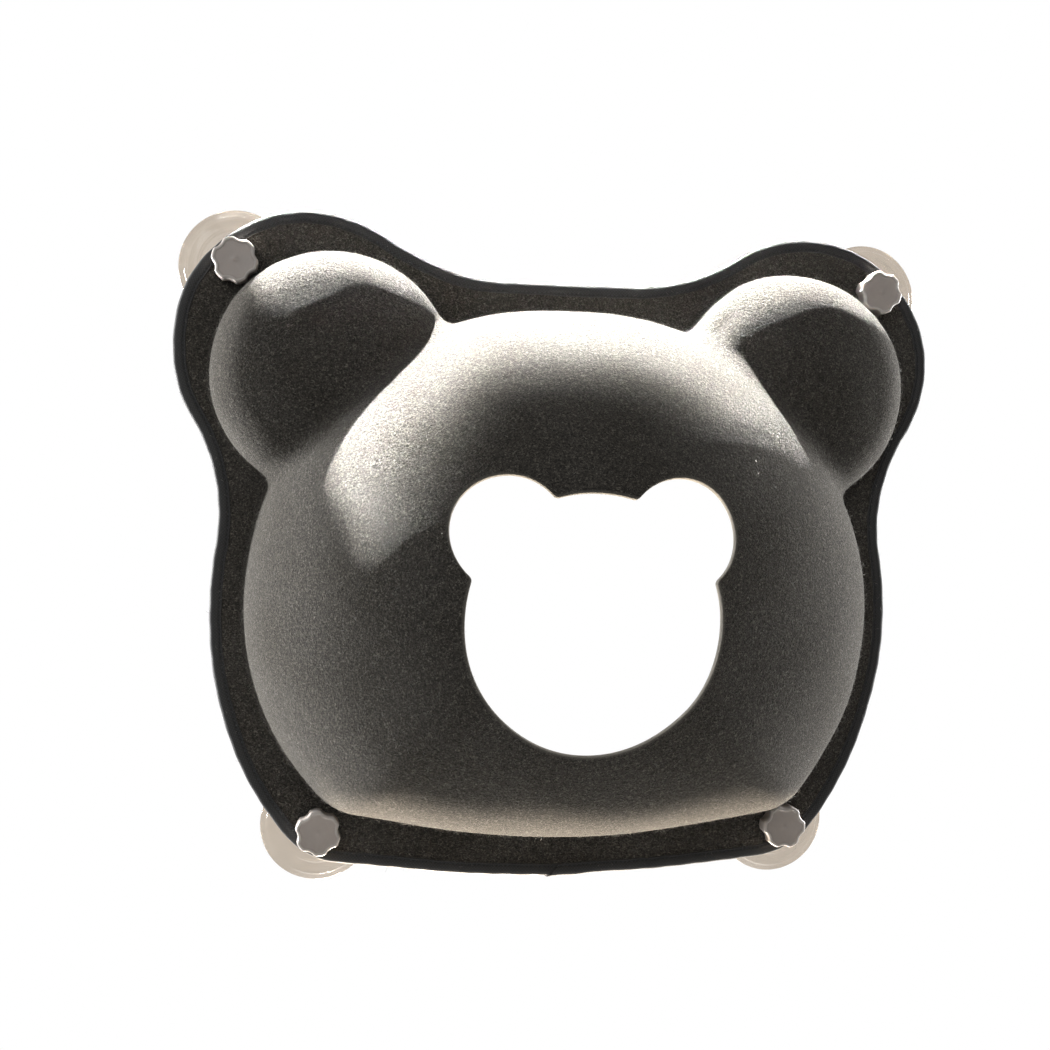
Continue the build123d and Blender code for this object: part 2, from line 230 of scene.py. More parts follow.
# Rows are spread evenly along each ray's line, and more closely where the felt turns.
TURN_WEIGHT = 14.0     # mm of line that a turn of one radian counts for
SMOOTHED = 9
rows = np.empty((COLUMNS + 1, ROWS, 3))
for i, line in enumerate(fan):
    steps = np.diff(line, axis=0)
    sizes = np.linalg.norm(steps, axis=1)
    ways = steps / sizes[:, None]
    bends = np.arccos(np.clip((ways[1:] * ways[:-1]).sum(1), -1, 1))
    bends = np.convolve(np.r_[bends, 0], np.ones(SMOOTHED) / SMOOTHED, "same")
    share = np.r_[0, np.cumsum(sizes + TURN_WEIGHT * bends)]
    share /= share[-1]
    for axis in range(3):
        rows[i, :, axis] = np.interp(np.linspace(0, 1, ROWS), share, line[:, axis])
outer = np.concatenate([rows, (rows * (-1, 1, 1))[-2:0:-1]])

KNOB_HOLD = 34.0       # round each stud the felt is pressed flat to about this far, mm


def settle(p):
    """The felt as it hangs: it lies a little unevenly, but flat under each knob."""
    x, y, z = p[..., 0], p[..., 1], p[..., 2]
    hold = np.ones_like(x)
    for sx, sy in STUDS.values():
        hold = hold * (1 - np.exp(-(((x - sx) ** 2 + (y + FACE_HEIGHT - sy) ** 2) / KNOB_HOLD**2) ** 2))

    # Waves 10 to 33 cm long and under a millimetre high lift it and push it about.
    lift = 0.9 * np.sin(x / 47 + 0.8) * np.sin(y / 53 - 0.4)
    lift = lift + 0.45 * np.sin(x / 21 - 1.9) * np.cos(y / 26 + 0.6)
    aside = 0.55 * np.sin(y / 31 + 1.3) + 0.3 * np.sin((x + y) / 17)
    upward = 0.55 * np.sin(x / 37 - 0.7) + 0.3 * np.cos((x - y) / 19)
    return np.stack([x + hold * aside, y + hold * upward, z + hold * lift], -1)


def face_normals(grid):
    """Outward normals of a closed belt of points, columns by rows."""
    along = np.roll(grid, -1, 0) - np.roll(grid, 1, 0)
    down = np.gradient(grid, axis=1)
    n = np.cross(along, -down)
    n /= np.linalg.norm(n, axis=2, keepdims=True)
    return n


def to_pane(p):
    """Points drawn flat round the face's middle (mm), stood up against the pane (metres)."""
    p = np.asarray(p, float)
    return np.stack([p[..., 0], -(p[..., 2] + FELT_BACK), p[..., 1] + FACE_HEIGHT], -1) / 1000


def put(name, data):
    """A new object in the scene."""
    thing = bpy.data.objects.new(name, data)
    bpy.context.scene.collection.objects.link(thing)
    return thing


def make_piece(name, points, faces):
    """A smooth piece of the given points (metres) and faces."""
    mesh = bpy.data.meshes.new(name)
    mesh.from_pydata(np.asarray(points).reshape(-1, 3).tolist(), [], faces)
    mesh.validate()
    mesh.polygons.foreach_set("use_smooth", [True] * len(mesh.polygons))
    return put(name, mesh)


def belt(first, second, flip=False):
    """Four-sided faces between two closed rows of point numbers."""
    faces = []
    for i in range(len(first)):
        j = (i + 1) % len(first)
        face = (first[i], first[j], second[j], second[i])
        faces.append(face[::-1] if flip else face)
    return faces


# The outer face wanders in and out by up to 0.35 mm.
normals = face_normals(outer)
x, y, z = np.moveaxis(outer, 2, 0)
wander = 0.35 * np.sin(x / 19 + 0.3 * np.sin(y / 23)) * np.sin(y / 17 + z / 29)
outer_skin = settle(outer + normals * wander[..., None])
inner_skin = settle((outer - normals * FELT_THICK)[:, ::2])

# The punched edge bulges a little: each row lies a share of the way through the felt, and a
# little further into the doorway than the faces.
CUT_ROWS = ((0.07, 0.28), (0.3, 0.42), (0.7, 0.42), (0.93, 0.28))
hole_way = -(outer[:, 1] - outer[:, 0])
hole_way /= np.linalg.norm(hole_way, axis=1, keepdims=True)
cut_rows = np.stack([outer_skin[:, 0] * (1 - through) + inner_skin[:, 0] * through + hole_way * bulge
                     for through, bulge in CUT_ROWS], 1)
skins = (outer_skin, inner_skin, cut_rows)
points = np.concatenate([skin.reshape(-1, 3) for skin in skins])
starts = np.cumsum([0] + [skin[..., 0].size for skin in skins])
outer_no, inner_no, cut_no = (np.arange(start, start + skin[..., 0].size).reshape(skin.shape[:2])
                              for skin, start in zip(skins, starts))
outer_faces = []
for k in range(ROWS - 1):
    outer_faces += belt(outer_no[:, k], outer_no[:, k + 1], flip=True)
faces = list(outer_faces)
for k in range(inner_no.shape[1] - 1):
    faces += belt(inner_no[:, k], inner_no[:, k + 1])
ring = [outer_no[:, 0]] + list(cut_no.T) + [inner_no[:, 0]]
for a, b in zip(ring, ring[1:]):
    faces += belt(a, b)
faces += belt(outer_no[:, -1], inner_no[:, -1], flip=True)
felt = make_piece("felt_shell_moulded", to_pane(points), faces)
# The punched edge is painted paler, a painted highlight, fading by half onto the rows beside it.
cut = np.zeros(len(points), np.float32)
cut[cut_no.ravel()] = 1.0
cut[outer_no[:, 0]] = 0.5
cut[inner_no[:, 0]] = 0.5
felt.data.attributes.new("cut_edge_highlight", "FLOAT", "POINT").data.foreach_set("value", cut)


def colour(hex_value):
    """A colour written as an sRGB hex value, in linear light."""
    parts = [int(hex_value[i:i + 2], 16) / 255 for i in (1, 3, 5)]
    return tuple(c / 12.92 if c <= 0.04045 else ((c + 0.055) / 1.055) ** 2.4 for c in parts) + (1.0,)


def add(tree, kind, inputs=None, **settings):
    """Add a node with its settings; an input is given a value, another node's output, or a
    node for its first output."""
    node = tree.nodes.new(kind)
    for key, value in settings.items():
        setattr(node, key, value)
    for key, value in (inputs or {}).items():
        if isinstance(value, bpy.types.Node):
            value = value.outputs[0]
        if isinstance(value, bpy.types.NodeSocket):
            tree.links.new(value, node.inputs[key])
        else:
            node.inputs[key].default_value = value
    return node


def new_finish(name):
    """A new material, its tree and the place on the piece that its patterns go by."""
    material = bpy.data.materials.new(name)
    material.use_nodes = True
    tree = material.node_tree
    tree.nodes.clear()
    return material, tree, add(tree, "ShaderNodeTexCoord").outputs["Object"]


# Moulded wool-blend felt, heather grey: dead matt, dark and light fibres felted together in
# flecks of 1 to 2 mm, a granular surface in raking light and a pale bloom of fibre ends.
heather_felt, tree, place = new_finish("heather_grey_wool_felt")
cloud = add(tree, "ShaderNodeTexNoise", {"Vector": place, "Scale": 1000 / 55, "Detail": 3.0})
fleck = add(tree, "ShaderNodeTexNoise", {
    "Vector": place, "Scale": 1000 / 1.3, "Detail": 3.0, "Roughness": 0.7, "Distortion": 0.4})
hair_place = add(tree, "ShaderNodeMapping", {
    "Vector": place, "Rotation": (0.3, 0.9, 0.5), "Scale": (1.0, 4.0, 1.3)})
hair = add(tree, "ShaderNodeTexNoise", {
    "Vector": hair_place, "Scale": 1000 / 2.6, "Detail": 3.0, "Distortion": 2.2})
mixed = add(tree, "ShaderNodeMath", {0: fleck, 1: hair}, operation="ADD")
shade = add(tree, "ShaderNodeMapRange", {"Value": mixed, "From Min": 0.7, "From Max": 1.3})
ramp = add(tree, "ShaderNodeValToRGB", {"Fac": shade})
ramp.color_ramp.elements[0].color = colour("#2f2d2b")
ramp.color_ramp.elements[1].color = colour("#aaa69e")
ramp.color_ramp.elements.new(0.42).color = colour("#514f4c")
ramp.color_ramp.elements.new(0.68).color = colour("#706c66")
tint = add(tree, "ShaderNodeMix", {
    "Factor": cloud, 6: ramp, 7: colour("#7c786f")}, data_type="RGBA", blend_type="SOFT_LIGHT")
# The paler colour on the punched edge is a painted highlight.
cut_highlight_mark = add(tree, "ShaderNodeAttribute", attribute_name="cut_edge_highlight")
edge_highlight_mix = add(tree, "ShaderNodeMix", {
    "Factor": cut_highlight_mark.outputs["Fac"], 6: tint.outputs[2], 7: colour("#a8a39a")}, data_type="RGBA")
grain = add(tree, "ShaderNodeTexNoise", {
    "Vector": place, "Scale": 1000 / 3.2, "Detail": 3.0, "Roughness": 0.65})
relief = add(tree, "ShaderNodeMath", {0: mixed, 1: grain}, operation="ADD")
bump = add(tree, "ShaderNodeBump", {"Height": relief, "Strength": 1.0, "Distance": 0.0016})
surface = add(tree, "ShaderNodeBsdfPrincipled", {
    "Base Color": edge_highlight_mix.outputs[2], "Roughness": 0.95, "Normal": bump, "Sheen Weight": 0.30,
    "Sheen Roughness": 0.45, "Sheen Tint": colour("#dad5cc"), "Specular IOR Level": 0.2, "IOR": 1.5})
add(tree, "ShaderNodeOutputMaterial", {"Surface": surface})
felt.data.materials.append(heather_felt)
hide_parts("felt_shell")
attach(felt, "shell_on_cups")

# Loose fibres on the felt
# Pressing leaves single wool hairs standing off the felt, and handling lifts a few more. They
# curl close to the face and only show against the light, along the rims and the crown.
FIBRE = {"Length": 0.0034, "Radius": 0.000045, "Per area": 34000.0, "Seed": 7}   # in metres
patch = make_piece("loose_fibres", to_pane(outer_skin), outer_faces)
wool_hair, tree, place = new_finish("loose_wool_hair")
blend = add(tree, "ShaderNodeTexNoise", {"Vector": place, "Scale": 1000 / 3.0, "Detail": 1.0})
ramp = add(tree, "ShaderNodeValToRGB", {"Fac": blend})
ramp.color_ramp.elements[0].position = 0.35
ramp.color_ramp.elements[0].color = colour("#55524d")
ramp.color_ramp.elements[1].position = 0.65
ramp.color_ramp.elements[1].color = colour("#c9c5bc")
surface = add(tree, "ShaderNodeBsdfPrincipled", {
    "Base Color": ramp, "Roughness": 0.6, "Sheen Weight": 0.2, "IOR": 1.55})
add(tree, "ShaderNodeOutputMaterial", {"Surface": surface})


def new_group(name, sizes):
    """A geometry tree that takes a mesh and the named sizes, and the outputs that give them."""
    group = bpy.data.node_groups.new(name, "GeometryNodeTree")
    group.interface.new_socket("Geometry", in_out="INPUT", socket_type="NodeSocketGeometry")
    for size, value in sizes.items():
        kind = "NodeSocketInt" if isinstance(value, int) else "NodeSocketFloat"
        group.interface.new_socket(size, in_out="INPUT", socket_type=kind)
    group.interface.new_socket("Geometry", in_out="OUTPUT", socket_type="NodeSocketGeometry")
    return group, group.nodes.new("NodeGroupInput").outputs


def grow(piece, group, sizes, finish):
    """Turn a mesh into what the tree makes of it, as a plain mesh with its finish."""
    modifier = piece.modifiers.new(group.name, "NODES")
    modifier.node_group = group
    sockets = {s.name: s.identifier for s in group.interface.items_tree if s.in_out == "INPUT"}
    for size, value in sizes.items():
        modifier[sockets[size]] = value
    made = bpy.data.meshes.new_from_object(piece.evaluated_get(bpy.context.evaluated_depsgraph_get()))
    made.name = piece.name
    piece.modifiers.remove(modifier)
    piece.data = made
    made.materials.clear()
    made.materials.append(finish)
    made.polygons.foreach_set("use_smooth", [True] * len(made.polygons))


# A hair is a bent line one unit long, leant over at random and sized where it stands.
group, given = new_group("standing_hairs", FIBRE)
spots = add(group, "GeometryNodeDistributePointsOnFaces", {
    "Mesh": given["Geometry"], "Density": given["Per area"], "Seed": given["Seed"]})
bend = add(group, "GeometryNodeCurveQuadraticBezier", {
    "Resolution": 2, "Start": (0, 0, -0.15), "Middle": (0.25, 0.05, 0.45), "End": (1.0, 0.1, 0.32)})
thin = add(group, "GeometryNodeCurvePrimitiveCircle", {"Resolution": 3, "Radius": 1.0}, mode="RADIUS")
slim = add(group, "ShaderNodeMath", {0: given["Radius"], 1: given["Length"]}, operation="DIVIDE")
round_hair = add(group, "GeometryNodeTransform", {"Geometry": thin, "Scale": slim})
strand = add(group, "GeometryNodeCurveToMesh", {
    "Curve": bend, "Profile Curve": round_hair, "Fill Caps": True})
swing = add(group, "FunctionNodeRandomValue", {
    "Min": (-0.5, -0.5, -math.pi), "Max": (0.5, 0.5, math.pi), "Seed": given["Seed"]},
    data_type="FLOAT_VECTOR")
turned = add(group, "FunctionNodeRotateRotation", {
    "Rotation": spots.outputs["Rotation"], "Rotate By": swing}, rotation_space="LOCAL")
long = add(group, "FunctionNodeRandomValue", {2: 0.45, 3: 1.35, "Seed": 3}, data_type="FLOAT")
each = add(group, "ShaderNodeMath", {0: long.outputs[1], 1: given["Length"]}, operation="MULTIPLY")
hairs = add(group, "GeometryNodeInstanceOnPoints", {
    "Points": spots, "Instance": strand, "Rotation": turned, "Scale": each})
real = add(group, "GeometryNodeRealizeInstances", {"Geometry": hairs})
done = add(group, "GeometryNodeSetMaterial", {"Geometry": real, "Material": wool_hair})
add(group, "NodeGroupOutput", {"Geometry": done})
grow(patch, group, FIBRE, wool_hair)
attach(patch, "shell_on_cups")

# Binding tape
# A strip of dark woven tape cut on the bias, folded over the brim's raw edge and sewn through
# all layers. It begins and ends at the bottom middle, where one cut end laps over the other.
TAPE_WIDTH = 9.0         # of the folded tape, mm
TAPE_THICK = 0.9
TAPE_COLUMNS = 1041
LAP = (-6.0, 15.0)       # where the two ends lie along the edge from the bottom middle, mm
LAP_FADE = (1.5, 16.0)   # where the upper layer starts to sink past the lap, over how far
LAP_STANDS = 0.32        # share by which the lap stands higher than the single tape
BIAS_SLANT = 11.0        # how far the start of the tape slants, mm, which evens out over BIAS_RUN
BIAS_RUN = 26.0
SEAM_IN = 7.2            # how far in from the fold the seam lies, mm
TANGENT = 0.8            # the edge's direction is taken over twice this, mm
OUTSIDE = 2.2            # points higher than this are on the tape's outer face, which ripples
brim_edge = both_sides(half_outline(BRIM)[0])
brim_edge = np.vstack([brim_edge, brim_edge[:1]])
edge_length = length(brim_edge)


def on_edge(runs, inset):
    """Points on the brim at distances along its edge, a given way in from it."""
    runs = np.asarray(runs, float)
    spot = at_runs(brim_edge, runs % edge_length)
    ahead, behind = (at_runs(brim_edge, (runs + s) % edge_length) for s in (TANGENT, -TANGENT))
    way = ahead - behind
    way /= np.linalg.norm(way, axis=-1, keepdims=True)
    inwards = np.stack([-way[..., 1], way[..., 0]], -1)
    return spot + inwards * np.asarray(inset)[..., None]


def lapped(runs):
    """Where the tape lies over its own other end: 1 on it, fading to 0 past it."""
    share = 1 - np.clip((runs - LAP[1] - LAP_FADE[0]) / LAP_FADE[1], 0, 1)
    return share**2 * (3 - 2 * share)


def sewn_astray(runs):
    """How far the tape strays in and out as it was fed under the needle, mm."""
    return 0.25 * np.sin(runs * 0.071) + 0.12 * np.sin(runs * 0.31 + 0.4)


# From the inner edge in front, over the brim's edge, to the inner edge behind: how far in from
# the tape's fold each point lies, and how high over the felt's middle. The seam draws the tape
# down, and it stands up in a soft ridge outside that.
front = [(9.0, 2.12), (9.0, 2.7), (8.75, 2.95), (8.2, 3.0), (7.6, 2.8), (SEAM_IN, 2.62), (6.8, 2.8),
         (6.1, 3.1), (5.2, 3.27), (4.1, 3.33), (3.0, 3.25), (2.0, 3.02), (1.15, 2.6), (0.5, 1.95),
         (0.12, 1.1)]
fold = front + [(0.0, 0.0)] + [(i, -h) for i, h in front[::-1]]
inside = [(8.0, -2.12), (4.5, -2.14), (1.2, -2.12), (0.92, -1.2), (0.92, 1.2), (1.2, 2.12), (4.5, 2.14),
          (8.0, 2.12)]
profile = np.array(fold + inside)
ways_in, heights = profile[None, :, 0], profile[None, :, 1]
across = runs_of(profile)
runs = np.linspace(LAP[0], edge_length + LAP[1], TAPE_COLUMNS)[:, None] + np.zeros(len(profile))[None, :]
fold_share = np.r_[np.arange(len(fold)) / (len(fold) - 1), np.linspace(1, 0, len(inside) + 2)[1:-1]]
slant = np.interp(fold_share, [0, 0.5, 1], [BIAS_SLANT, 0.0, -BIAS_SLANT])
bias_runs = runs + slant[None, :] * np.clip(1 - (runs - LAP[0]) / BIAS_RUN, 0, 1)
inset = ways_in - TAPE_THICK * lapped(runs) * (1 - ways_in / TAPE_WIDTH) + sewn_astray(runs)
ripple = 0.10 * np.sin(runs * 0.37 + 0.8 * np.sin(runs * 0.11)) + 0.08 * np.sin(runs * 0.83 + 1.1)
height = heights * (1 + LAP_STANDS * lapped(runs)) + ripple * np.sign(heights) * (np.abs(heights) > OUTSIDE)
flat = on_edge(bias_runs, inset)
tape_points = settle(np.concatenate([flat, (height + FELT_THICK / 2)[..., None]], -1))
number = np.arange(tape_points[..., 0].size).reshape(tape_points.shape[:2]).tolist()
faces = []
for i in range(TAPE_COLUMNS - 1):
    for j in range(len(profile)):
        k = (j + 1) % len(profile)
        faces.append((number[i][j], number[i + 1][j], number[i + 1][k], number[i][k]))

# Each cut end is closed between the fold and the point opposite it on the inside.
opposite = [len(profile) - 1 - round(j * (len(inside) - 1) / (len(fold) - 2)) for j in range(len(fold) - 1)]
opposite.append(opposite[-1])
for row, way in ((number[0], 1), (number[-1], -1)):
    for j in range(len(fold) - 1):
        a, b = opposite[j], opposite[j + 1]
        cap = [row[j], row[j + 1], row[b]] + ([row[a]] if a != b else [])
        faces.append(tuple(cap[::way]))
tape = make_piece("binding_tape", to_pane(tape_points), faces)
weave_run = np.zeros(tape_points.shape, np.float32)
weave_run[..., 0] = bias_runs / 1000
weave_run[..., 1] = across[None, :] / 1000
tape.data.attributes.new("weave_run", "FLOAT_VECTOR", "POINT").data.foreach_set("vector", weave_run.ravel())
# A dark band along each line of stitches is a painted shadow in the seam's groove.
seam = np.zeros(tape_points.shape[:2], np.float32)
seam_point = front.index((SEAM_IN, 2.62))
for point in (seam_point, len(fold) - 1 - seam_point):
    seam[:, point - 1: point + 2] = (0.3, 1.0, 0.3)
tape.data.attributes.new("seam_painted_shade", "FLOAT", "POINT").data.foreach_set("value", seam.ravel())


def bands_apart(mm):
    """The scale at which a Wave texture, a sine of 20 times the place, has bands so far apart."""
    return 1000 / mm / 20 * 2 * math.pi


# Polyester bias tape, plain weave cut at 45 degrees: smooth and dark with a faint silky sheen.
# Its threads lie 0.35 mm apart, and are drawn 0.8 mm apart so that the weave shows. Every
# second thread comes to the top, where the weave is painted lighter: a painted highlight on the
# raised threads.
bias_tape, tree, place = new_finish("dark_polyester_bias_tape")
run = add(tree, "ShaderNodeAttribute", attribute_name="weave_run")
slope = add(tree, "ShaderNodeMapping", {
    "Vector": run.outputs["Vector"], "Rotation": (0, 0, math.radians(45))})
warp, weft = (add(tree, "ShaderNodeTexWave", {
    "Vector": slope, "Scale": bands_apart(0.8 * 2), "Distortion": 0.4, "Detail": 1.0},
    bands_direction=way) for way in "XY")
weave = add(tree, "ShaderNodeMath", {0: warp.outputs["Fac"], 1: weft.outputs["Fac"]}, operation="MULTIPLY")
fade = add(tree, "ShaderNodeTexNoise", {"Vector": place, "Scale": 1000 / 30, "Detail": 4.0})
base = add(tree, "ShaderNodeMix", {
    "Factor": fade, 6: colour("#2b2b2c"), 7: colour("#3a3937")}, data_type="RGBA")
# Where the threads cross on top the tape is painted lighter, a painted highlight.
weave_highlighted = add(tree, "ShaderNodeMix", {
    "Factor": weave, 6: base.outputs[2], 7: colour("#4a4b4d")}, data_type="RGBA")
# The seam's dark band is a painted shadow.
seam_shade_mark = add(tree, "ShaderNodeAttribute", attribute_name="seam_painted_shade")
seam_shaded = add(tree, "ShaderNodeMix", {
    "Factor": seam_shade_mark.outputs["Fac"], 6: weave_highlighted.outputs[2], 7: colour("#141415")}, data_type="RGBA")
bump = add(tree, "ShaderNodeBump", {"Height": weave, "Strength": 0.35, "Distance": 0.0002})
surface = add(tree, "ShaderNodeBsdfPrincipled", {
    "Base Color": seam_shaded.outputs[2], "Roughness": 0.62, "Normal": bump,
    "Sheen Weight": 0.25, "Sheen Roughness": 0.35, "IOR": 1.5})
add(tree, "ShaderNodeOutputMaterial", {"Surface": surface})
tape.data.materials.append(bias_tape)
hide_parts("edge_binding")
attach(tape, "shell_on_cups")

# Stitches
# One row of lockstitch in dark polyester thread, about three stitches to the centimetre, goes
# through tape and felt near the tape's inner edge, so it shows in front and behind.
STITCH = {"Pitch": 0.0032, "Reach": 0.0027, "Thread": 0.00026, "Seed": 5}   # in metres
SEAM_LIFT = 2.64       # of the thread over the felt's middle, mm
sew_runs = np.linspace(0, edge_length, 1041)[:-1]
sewn = len(sew_runs)
line_spots, line_out = [], []
for side in (1, -1):
    lift = side * SEAM_LIFT * (1 + LAP_STANDS * lapped(sew_runs)) + FELT_THICK / 2
    spots = on_edge(sew_runs, SEAM_IN + sewn_astray(sew_runs))
    line_spots.append(to_pane(settle(np.concatenate([spots, lift[:, None]], 1))))
    line_out.append(np.tile((0.0, -side, 0.0), (sewn, 1)))
mesh = bpy.data.meshes.new("seam_stitches")
edges = [(k * sewn + i, k * sewn + (i + 1) % sewn) for k in (0, 1) for i in range(sewn)]
mesh.from_pydata(np.concatenate(line_spots).tolist(), edges, [])
outwards = np.concatenate(line_out).astype(np.float32)
mesh.attributes.new("outwards", "FLOAT_VECTOR", "POINT").data.foreach_set("vector", outwards.ravel())
stitches = put("seam_stitches", mesh)

# Twisted polyester thread: dark with a faint gloss. Its two plies turn once in 0.9 mm, and are
# drawn coarser, so that each stitch shades from one ply to the other: the twist is painted in
# bands of dark and lighter, a painted shading of the plies.
sewing_thread, tree, place = new_finish("dark_polyester_thread")
plies = add(tree, "ShaderNodeTexWave", {
    "Vector": place, "Scale": bands_apart(0.9 * 2), "Distortion": 1.0}, bands_direction="DIAGONAL")
# The lighter and darker bands along the twist are painted shade and painted highlight.
tone = add(tree, "ShaderNodeMix", {
    "Factor": plies.outputs["Fac"], 6: colour("#15171b"), 7: colour("#33373d")}, data_type="RGBA")
bump = add(tree, "ShaderNodeBump", {"Height": plies.outputs["Fac"], "Strength": 0.4, "Distance": 0.00008})
surface = add(tree, "ShaderNodeBsdfPrincipled", {
    "Base Color": tone.outputs[2], "Roughness": 0.5, "Normal": bump, "Sheen Weight": 0.2, "IOR": 1.5})
add(tree, "ShaderNodeOutputMaterial", {"Surface": surface})

# A stitch is a low arch one unit long, laid along the seam with its crown outwards.
group, given = new_group("row_of_stitches", STITCH)
rows = add(group, "GeometryNodeMeshToCurve", {"Mesh": given["Geometry"]})
spaced = add(group, "GeometryNodeResampleCurve", {"Curve": rows, "Length": given["Pitch"]}, mode="LENGTH")
arch = add(group, "GeometryNodeCurveQuadraticBezier", {
    "Resolution": 5, "Start": (-0.5, 0, -0.16), "Middle": (0, 0, 0.34), "End": (0.5, 0, -0.16)})
arched = add(group, "GeometryNodeTransform", {"Geometry": arch, "Scale": given["Reach"]})
ply = add(group, "GeometryNodeCurvePrimitiveCircle", {
    "Resolution": 6, "Radius": given["Thread"]}, mode="RADIUS")
one = add(group, "GeometryNodeCurveToMesh", {"Curve": arched, "Profile Curve": ply, "Fill Caps": True})
out_way = add(group, "GeometryNodeInputNamedAttribute", {"Name": "outwards"}, data_type="FLOAT_VECTOR")
stand = add(group, "FunctionNodeAlignRotationToVector", {"Vector": out_way.outputs["Attribute"]}, axis="Z")
onward = add(group, "GeometryNodeInputTangent")
along = add(group, "FunctionNodeAlignRotationToVector", {
    "Rotation": stand, "Vector": onward}, axis="X", pivot_axis="Z")
skew = add(group, "FunctionNodeRandomValue", {
    "Min": (0, 0, 0.02), "Max": (0, 0, 0.16), "Seed": given["Seed"]}, data_type="FLOAT_VECTOR")
skewed = add(group, "FunctionNodeRotateRotation", {
    "Rotation": along, "Rotate By": skew}, rotation_space="LOCAL")
laid = add(group, "GeometryNodeInstanceOnPoints", {"Points": spaced, "Instance": one, "Rotation": skewed})
real = add(group, "GeometryNodeRealizeInstances", {"Geometry": laid})
done = add(group, "GeometryNodeSetMaterial", {"Geometry": real, "Material": sewing_thread})
add(group, "NodeGroupOutput", {"Geometry": done})
grow(stitches, group, STITCH, sewing_thread)
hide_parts("binding_thread")
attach(stitches, "shell_on_cups")

# Suction cups
# Four clear soft-PVC cups 82 mm across, injection moulded in one piece: a flat sealing lip, a
# shallow hollow behind, a thin skirt with two raised rings and a stout neck round the stud.
CUP_COLUMNS = 112
BEADS = (0.45, 0.80)   # where the raised rings lie along the skirt, as shares of it
BEAD_HIGH, BEAD_WIDE = 0.85, 1.1
NECK_RADIUS = 9.2
NECK_TURN = 3.0        # radius of the hollow turn from the neck into the skirt, mm
NECK_END = 18.0        # depth off the pane, mm
CUP_HOLLOW = 7.0       # depth of the hollow behind the lip


def arc_between(start, stop, sagitta, steps):
    """Points along an arc between two points that bulges to the left of the way by sagitta."""
    start, stop = np.array(start, float), np.array(stop, float)
    half = np.linalg.norm(stop - start) / 2
    radius = (half**2 + sagitta**2) / (2 * abs(sagitta))
    way = (stop - start) / (2 * half)
    side = np.array([-way[1], way[0]]) * np.sign(sagitta)
    middle = (start + stop) / 2 - side * (radius - abs(sagitta))
    swing = math.asin(half / radius)
    turns = np.linspace(-swing, swing, steps)
    return middle + radius * (np.sin(turns)[:, None] * way + np.cos(turns)[:, None] * side)


def round_ring(spot, radii, depth, columns):
    """A ring of points round a stud's axis, at one depth off the pane; radii may vary round it."""
    turns = np.arange(columns) * 2 * math.pi / columns
    return np.stack([spot[0] + radii * np.cos(turns), np.full(columns, -depth),
                     spot[1] + radii * np.sin(turns)], 1)


def ringed(name, first, rings, last, from_behind=False):
    """A closed form of rings of points (mm) with a pole at each end, from front to back unless
    it is drawn from behind."""
    count = len(rings[0])
    points = np.vstack([[first], *rings, [last]]) / 1000
    faces = []
    for i in range(count):
        j = (i + 1) % count
        faces.append((0, 1 + i, 1 + j))
        for k in range(len(rings) - 1):
            a, b = 1 + k * count, 1 + (k + 1) * count
            faces.append((a + i, b + i, b + j, a + j))
        faces.append((b + i, len(points) - 1, b + j))
    if from_behind:
        faces = [(face[0],) + face[:0:-1] for face in faces]
    return make_piece(name, points, faces)


skirt = arc_between((14.0, 9.6), (41.0, 2.0), 1.6, 56)
skirt_runs = runs_of(skirt)
for bead in BEADS:
    off_bead = (skirt_runs - bead * skirt_runs[-1]) / BEAD_WIDE
    skirt[:, 1] = skirt[:, 1] + BEAD_HIGH * np.sqrt(np.maximum(0, 1 - off_bead**2))
neck_turn = [(NECK_RADIUS + NECK_TURN * (1 - math.cos(t)), 12.6 - NECK_TURN * math.sin(t))
             for t in np.linspace(0, math.pi / 2, 8)]

# The neck's end, its turn, the skirt, the rounded rim, the lip and the hollow, each point a
# radius and a depth off the pane.
cup_outline = [(4.2, NECK_END), (8.2, NECK_END), (8.9, 17.75), (NECK_RADIUS, 17.0)] + neck_turn
cup_outline += [(13.2, 9.6), *skirt, (41.0, 1.6), (41.0, 0.7), (40.8, 0.2), (40.3, 0.02), (38.5, 0.0)]
cup_outline += [(36.6, 0.0), *arc_between((36.0, 0.0), (0.0, CUP_HOLLOW), -1.0, 24)[:-1]]


def mottled(tree, place, apart_mm, first, second, strength, distance, **more):
    """A cloudy pattern of clouds so far apart, two shades that follow it, and a fine relief."""
    cloud = add(tree, "ShaderNodeTexNoise", {"Vector": place, "Scale": 1000 / apart_mm, **more})
    shade = add(tree, "ShaderNodeMix", {
        "Factor": cloud, 6: colour(first), 7: colour(second)}, data_type="RGBA")
    bump = add(tree, "ShaderNodeBump", {"Height": cloud, "Strength": strength, "Distance": distance})
    return cloud, shade.outputs[2], bump


# Soft PVC, clear, moulded: bright reflections, a warm haze through the thickness of the rim.
clear_pvc, tree, place = new_finish("clear_soft_pvc")
_, haze, bump = mottled(tree, place, 14, "#e3dace", "#d2c8bb", 0.12, 0.0015, Detail=3.0, Distortion=0.6)
surface = add(tree, "ShaderNodeBsdfPrincipled", {
    "Base Color": haze, "Roughness": 0.13, "IOR": 1.53, "Normal": bump,
    "Transmission Weight": 0.88, "Coat Weight": 0.3, "Coat Roughness": 0.06})
thin = add(tree, "ShaderNodeBsdfTransparent", {"Color": colour("#e6ddd2")})
both = add(tree, "ShaderNodeMixShader", {"Fac": 0.72, 1: thin, 2: surface})
add(tree, "ShaderNodeOutputMaterial", {"Surface": both})
for corner, (x, z) in STUDS.items():
    rings = [round_ring((x, z), radius, depth, CUP_COLUMNS) for radius, depth in cup_outline]
    cup = ringed(f"suction_cup_{corner}_moulded", (x, -NECK_END, z), rings, (x, -CUP_HOLLOW, z))
    cup.data.materials.append(clear_pvc)
    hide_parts(f"suction_cup_{corner}")
    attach(cup, "shell_on_cups")

